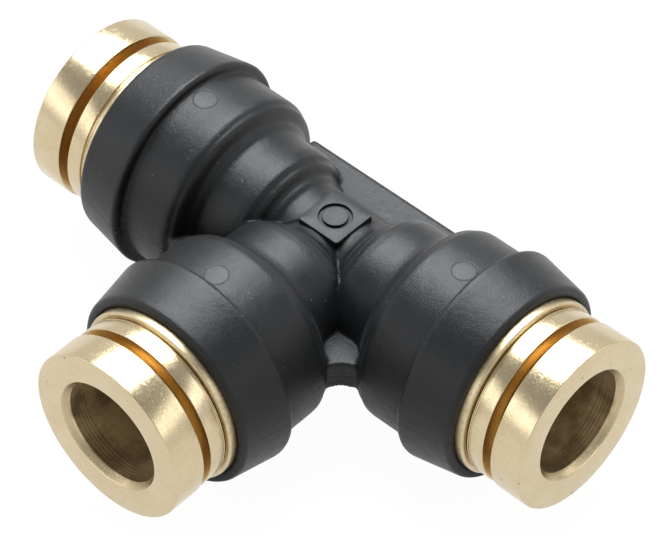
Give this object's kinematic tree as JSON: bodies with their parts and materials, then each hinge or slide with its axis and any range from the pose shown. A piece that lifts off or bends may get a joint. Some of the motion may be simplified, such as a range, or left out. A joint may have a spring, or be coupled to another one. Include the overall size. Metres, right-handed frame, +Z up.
{
  "type": "push to connect union tee",
  "caption": "Union tee for plastic air tube: moulded black body with brass push to connect cartridges, each with a release button that slides in and turns.",
  "frame": {"origin": "on the surface that the tee lies on, under the middle of its outline", "axes": "+X along the run, out of the right port; -Y out of the branch port; +Z up, square to the plane of the three ports, on the side with the crown pad"},
  "size_m": [0.0736, 0.0492, 0.0263],
  "materials": {
    "body_nylon": "matte charcoal black glass filled nylon",
    "sleeve_brass": "satin turned",
    "cap_brass": "satin turned",
    "button_brass": "satin turned, fine machining marks on the face",
    "collet_brass": "turned",
    "support_brass": "drawn",
    "spacer_brass": "turned",
    "nitrile": "smooth moulded"
  },
  "bodies": {
    "fitting": {"tee_body": "body_nylon", "right_cartridge_sleeve": "sleeve_brass", "right_retaining_cap": "cap_brass", "right_tube_seal": "nitrile", "right_seal_spacer": "spacer_brass", "right_tube_support": "support_brass", "left_cartridge_sleeve": "sleeve_brass", "left_retaining_cap": "cap_brass", "left_tube_seal": "nitrile", "left_seal_spacer": "spacer_brass", "left_tube_support": "support_brass", "branch_cartridge_sleeve": "sleeve_brass", "branch_retaining_cap": "cap_brass", "branch_tube_seal": "nitrile", "branch_seal_spacer": "spacer_brass", "branch_tube_support": "support_brass"},
    "right_grip": {"right_collet": "collet_brass"},
    "right_button": {"right_release_button": "button_brass"},
    "left_grip": {"left_collet": "collet_brass"},
    "left_button": {"left_release_button": "button_brass"},
    "branch_grip": {"branch_collet": "collet_brass"},
    "branch_button": {"branch_release_button": "button_brass"}
  },
  "joints": [
    {"name": "right_release_slide", "type": "slide", "parent": "fitting", "child": "right_grip", "axis": [-1, 0, 0], "range_m": [0, 0.0012], "stiffness_N_per_m": 1500},
    {"name": "right_button_spin", "type": "hinge", "parent": "right_grip", "child": "right_button", "pos_m": [0.031, 0.01142, 0.01315], "axis": [1, 0, 0], "continuous": true},
    {"name": "left_release_slide", "type": "slide", "parent": "fitting", "child": "left_grip", "axis": [1, 0, 0], "range_m": [0, 0.0012], "stiffness_N_per_m": 1500},
    {"name": "left_button_spin", "type": "hinge", "parent": "left_grip", "child": "left_button", "pos_m": [-0.031, 0.01142, 0.01315], "axis": [-1, 0, 0], "continuous": true},
    {"name": "branch_release_slide", "type": "slide", "parent": "fitting", "child": "branch_grip", "axis": [0, 1, 0], "range_m": [0, 0.0012], "stiffness_N_per_m": 1500},
    {"name": "branch_button_spin", "type": "hinge", "parent": "branch_grip", "child": "branch_button", "pos_m": [0, -0.01878, 0.01315], "axis": [0, -1, 0], "continuous": true}
  ]
}
